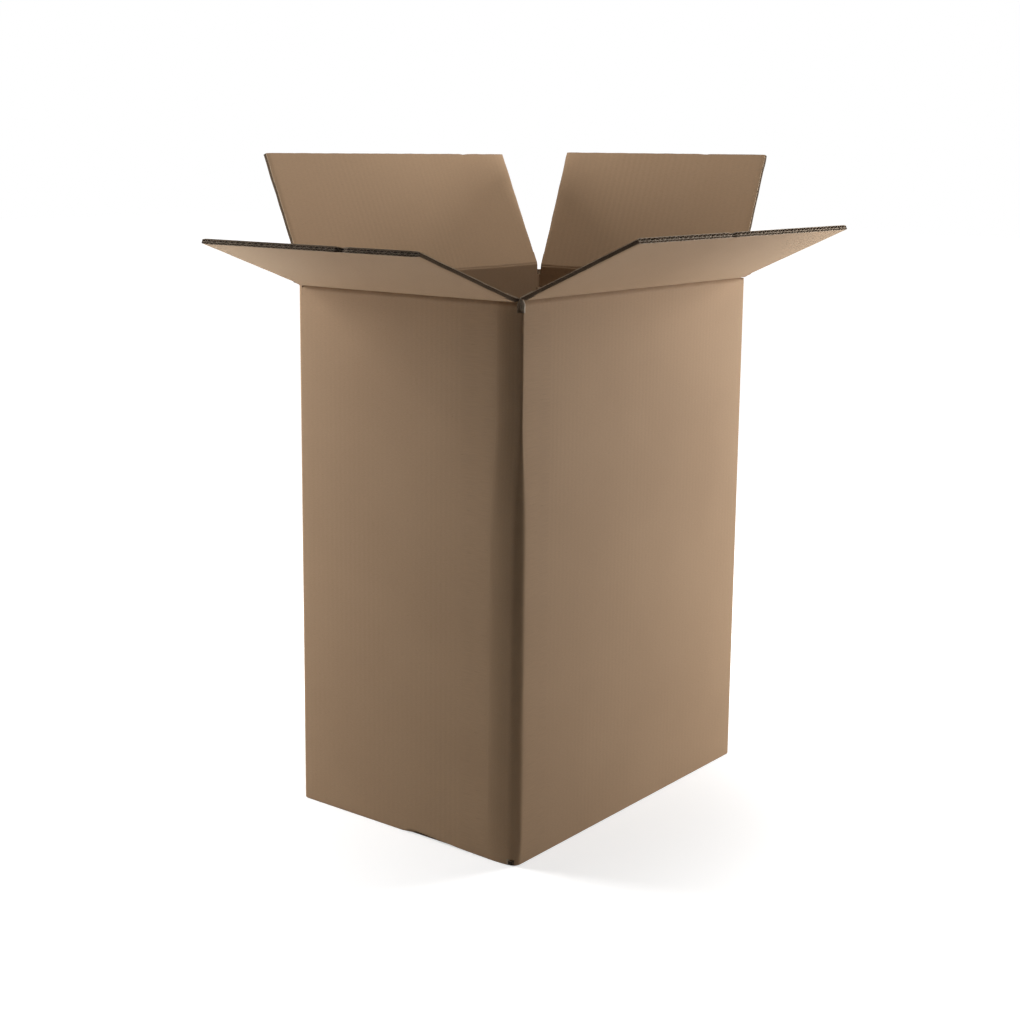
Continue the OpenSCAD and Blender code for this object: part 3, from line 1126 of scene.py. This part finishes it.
def make_crease(body, wall):
    """Closed strip of bent board along one score line."""
    columns = CREASE_COLUMNS
    low, high = flap_ends(body)
    flat = high - low - 2 * RIM
    places = [low, *(low + RIM + flat * step / (columns - 2) for step in range(columns - 1)), high]
    points, sheet, faces, papers = [], [], [], []
    for x in places:
        outer, inner = crease_profile(wall, x, SEEDS[body], fold_recess(body, x))
        for line, depth in ((outer, 0.0), (inner, BOARD)):
            for (u, z), height in line:
                points.append(wall["frame"] @ Vector((x, u, z)))
                sheet.append((wall["sheet_mid"] - x, height, depth))
    count = len(outer)
    for column in range(columns):
        here, there = column * 2 * count, (column + 1) * 2 * count
        for k in range(count - 1):
            faces.append((here + k, here + k + 1, there + k + 1, there + k))
            rim = body == "front" and column == columns - 1 and k < count // 2
            papers.append(TORN if rim else OUTER)
            a, b = here + count + k, there + count + k
            faces.append((a, b, b + 1, a + 1))
            papers.append(INNER)
        for k in (0, count - 1):
            quad = (here + k, there + k, there + count + k, here + count + k)
            faces.append(quad if k == 0 else quad[::-1])
            papers.append(CUT)
    last = columns * 2 * count
    for k in range(count - 1):
        faces.append((k + 1, k, count + k, count + k + 1))
        faces.append((last + k, last + k + 1, last + count + k + 1, last + count + k))
        # The wall half of each end takes the paler edge paper, painted light on a face that stands in
        # shade beside the slot.
        papers += [EDGE if k < count // 2 else SLOT] * 2
    return add_piece(body + "_crease", points, faces, papers, sheet)


creases = {body: make_crease(body, wall) for body, wall in WALLS.items()}
for body, piece in creases.items():
    print(body, "crease:", len(piece.data.polygons), "faces")

# %% [markdown]
# ## The base
#
# Four flaps close the base. The pair on the end walls lies inside, and the pair on the long walls
# closes under it and meets along the middle. They are cut from the same sheet as the top flaps, so
# the same tree makes them.

# %% Four base flaps
BASE_LENGTH = FLAP_LENGTH - BOARD
BASE_GAP = 0.2 * MM
BASE_SHORT = 6 * MM
BASE_ROWS = 4
BASE_SEED = 100.0
BASE_SHEET = -0.2


def base_place(body, level):
    """Matrix of a base flap that runs in from a wall, outer face down."""
    turn = Matrix.Rotation(math.pi, 4, "Z")
    return WALLS[body]["frame"] @ Matrix.Translation((0, -BOARD, level)) @ turn


base_flaps = []
for body, outer_pair in (("left", False), ("right", False), ("front", True), ("back", True)):
    wall = WALLS[body]
    base_flaps.append(make_board(
        body + "_base_flap", base_place(body, 0.0 if outer_pair else BOARD + BASE_GAP), **{
            "Width": LENGTH - BASE_SHORT if outer_pair else wall["flap_width"],
            "Length": BASE_LENGTH, "Rows": BASE_ROWS, "Seed": SEEDS[body] + BASE_SEED,
            "Sheet Start": wall["sheet_mid"], "Sheet Height": BASE_SHEET,
        }))

# %% [markdown]
# ## The glue lap
#
# One end of the sheet folds behind the end wall and is glued there. It shows inside the box as a
# strip with a bevelled edge that sways a little. A loft of one outline up the wall is enough.

# %% Glue lap
LAP_WIDTH, LAP_FOOT, LAP_BEVEL = 35 * MM, 16 * MM, 0.4 * MM
LAP_TOP = SCORE - 1.6 * LAP_FOOT
LAP_ROWS = 24
LAP_SWAY, LAP_WAVE, LAP_SEED = 0.25 * MM, 70 * MM, 5.0
LAP_SHEET = 1.9


def make_lap():
    x_out, x_in = LENGTH / 2 - BOARD, LENGTH / 2 - 2 * BOARD
    y_far, y_near = WIDTH / 2 - BOARD, WIDTH / 2 - BOARD - LAP_WIDTH
    outline = [(x_out, y_near), (x_out, y_far), (x_in, y_far), (x_in, y_near + LAP_BEVEL),
               (x_in + LAP_BEVEL, y_near)]
    kinds = [OUTER, INNER, INNER, CUT, CUT]
    points, sheet = [], []
    for step in range(LAP_ROWS + 1):
        z = LAP_FOOT + (LAP_TOP - LAP_FOOT) * step / LAP_ROWS
        for x, y in outline:
            sway = LAP_SWAY * drift(z / LAP_WAVE, LAP_SEED) if y < y_far else 0.0
            points.append((x, y + sway, z))
            sheet.append((LAP_SHEET + y, z, x_out - x))
    faces = prism_faces(len(outline), LAP_ROWS + 1)
    return add_piece("glue_lap", points, faces, kinds * LAP_ROWS + [CUT, CUT], sheet)


lap = make_lap()
print("glue lap:", len(lap.data.polygons), "faces")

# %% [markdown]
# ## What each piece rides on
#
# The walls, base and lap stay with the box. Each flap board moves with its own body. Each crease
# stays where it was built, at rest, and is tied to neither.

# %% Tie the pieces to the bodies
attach(walls, "box")
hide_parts("box_body")
for piece in [lap, *base_flaps, *corner_tops]:
    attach(piece, "box")
for body, wall in WALLS.items():
    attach(flaps[body], body)
    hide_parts(body + "_flap")
    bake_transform(creases[body])

# %% [markdown]
# ## Floor, light and camera
#
# The box stands on a plain white floor. Rays that show the floor and the world to the camera,
# straight or by gloss, see them brighter than they are lit, so the ground is white and still keeps
# the shadow. The world lights the box only by gloss.

# %% Floor and surroundings
FLOOR_HALF = 12.0
FLOOR_GREY = (0.58, 0.58, 0.58, 1)
WHITE = (1, 1, 1, 1)
NEAR_GLOW, FAR_GLOW = 0.55, 1.1
GLOW_FROM, GLOW_TO = 0.15, 0.75


def seen_rays(net):
    """One for rays that show a surface to the camera, straight or by gloss or glass."""
    path = net.add("ShaderNodeLightPath").outputs
    seen = net.math("MAXIMUM", path["Is Camera Ray"], path["Is Glossy Ray"])
    return net.math("MAXIMUM", seen, path["Is Transmission Ray"])


def white_floor():
    mesh = bpy.data.meshes.new("studio_floor")
    corners = [(-1, -1), (1, -1), (1, 1), (-1, 1)]
    mesh.from_pydata([(FLOOR_HALF * x, FLOOR_HALF * y, 0) for x, y in corners], [], [(0, 1, 2, 3)])
    floor = bpy.data.objects.new("studio_floor", mesh)
    bpy.context.scene.collection.objects.link(floor)
    material, net, shader = new_material("studio_white")
    shader.inputs["Base Color"].default_value = FLOOR_GREY
    shader.inputs["Roughness"].default_value = 1.0
    shader.inputs["Specular IOR Level"].default_value = 0.0
    shader.inputs["Emission Color"].default_value = WHITE
    place = net.add("ShaderNodeTexCoord").outputs["Object"]
    away = net.add("ShaderNodeVectorMath", {0: place}, operation="LENGTH").outputs["Value"]
    glow = net.ramp(away, GLOW_FROM, GLOW_TO, NEAR_GLOW, FAR_GLOW)
    net.put(shader.inputs["Emission Strength"], net.times(seen_rays(net), glow))
    mesh.materials.append(material)
    return floor


def studio_world():
    world = bpy.data.worlds.new("studio")
    world.use_nodes = True
    net = Net(world.node_tree)
    background = world.node_tree.nodes["Background"]
    background.inputs["Color"].default_value = WHITE
    net.put(background.inputs["Strength"], seen_rays(net))
    bpy.context.scene.world = world
    return world


floor = white_floor()
world = studio_world()
print("stage:", floor.name, "and world", world.name)

# %% [markdown]
# Two tall soft lamps light the end wall and the front wall from the sides, so that the front fold
# between them stays in the shade. A third lamp above lights the flaps at the back, whose inner faces
# look up, and only grazes the walls below them.

# %% Soft lamps
def soft_lamp(name, place, target, size, power):
    data = bpy.data.lights.new(name, "AREA")
    data.shape = "RECTANGLE"
    data.size, data.size_y = size
    data.energy = power
    lamp = bpy.data.objects.new(name, data)
    lamp.location = place
    lamp.rotation_euler = (Vector(target) - Vector(place)).to_track_quat("-Z", "Y").to_euler()
    bpy.context.scene.collection.objects.link(lamp)
    print(name, power, "W")
    return lamp


soft_lamp("left_lamp", (-0.42, 0.78, 0.55), (-0.2, 0.0, 0.3), (0.3, 0.95), 12.6)
soft_lamp("right_lamp", (1.0, -0.62, 0.53), (0.0, -0.14, 0.3), (0.4, 0.95), 18.4)
soft_lamp("top_lamp", (0.22, -0.08, 1.6), (0.05, 0.05, 0.5), (0.5, 0.5), 11.5)

# %% [markdown]
# A white table throws light up under the far ends of the two flaps that lean out most. Two small
# lamps near the floor stand in for it, with a slightly cool colour.

# %% Light from the table
BOUNCE_SIZE = 0.1, 0.1
BOUNCE_COLOUR = (0.8, 1.0, 1.2)


def bounce_lamp(name, place, target, power, spread):
    """Small lamp with a narrow beam that the camera does not see."""
    lamp = soft_lamp(name, place, target, BOUNCE_SIZE, power)
    lamp.data.spread = math.radians(spread)
    lamp.data.color = BOUNCE_COLOUR
    lamp.visible_camera = False


bounce_lamp("left_bounce", (-0.37, 0.22, 0.08), (-0.335, 0.15, 0.62), 0.055, 32)
bounce_lamp("right_bounce", (0.30, -0.34, 0.08), (0.20, -0.26, 0.62), 0.075, 45)

# %% [markdown]
# The camera's place, directions and focal length in pixels were solved from the edges of the box in
# the photograph. The lens follows from the focal length and the width of the sensor.

# %% Camera at the angle of the photograph
IMAGE = 1020
FOCAL = 1667.36
SENSOR = 36.0
CAMERA_PLACE = Vector((-1.41210, -1.07265, 0.68975))
CAMERA_RIGHT = Vector((0.615255, -0.788267, 0.009843))
CAMERA_UP = Vector((0.133817, 0.116735, 0.984107))
CAMERA_SHIFT = -0.06
camera_data = bpy.data.cameras.new("camera")
camera_data.sensor_width = SENSOR
camera_data.lens = SENSOR * FOCAL / IMAGE
camera_data.shift_y = CAMERA_SHIFT
camera = bpy.data.objects.new("camera", camera_data)
turn = Matrix((CAMERA_RIGHT, CAMERA_UP, CAMERA_RIGHT.cross(CAMERA_UP))).transposed().to_4x4()
camera.matrix_world = Matrix.Translation(CAMERA_PLACE) @ turn
bpy.context.scene.collection.objects.link(camera)
bpy.context.scene.camera = camera
bpy.context.scene.view_settings.view_transform = "Standard"
print("lens", round(camera_data.lens, 2))

# %% [markdown]
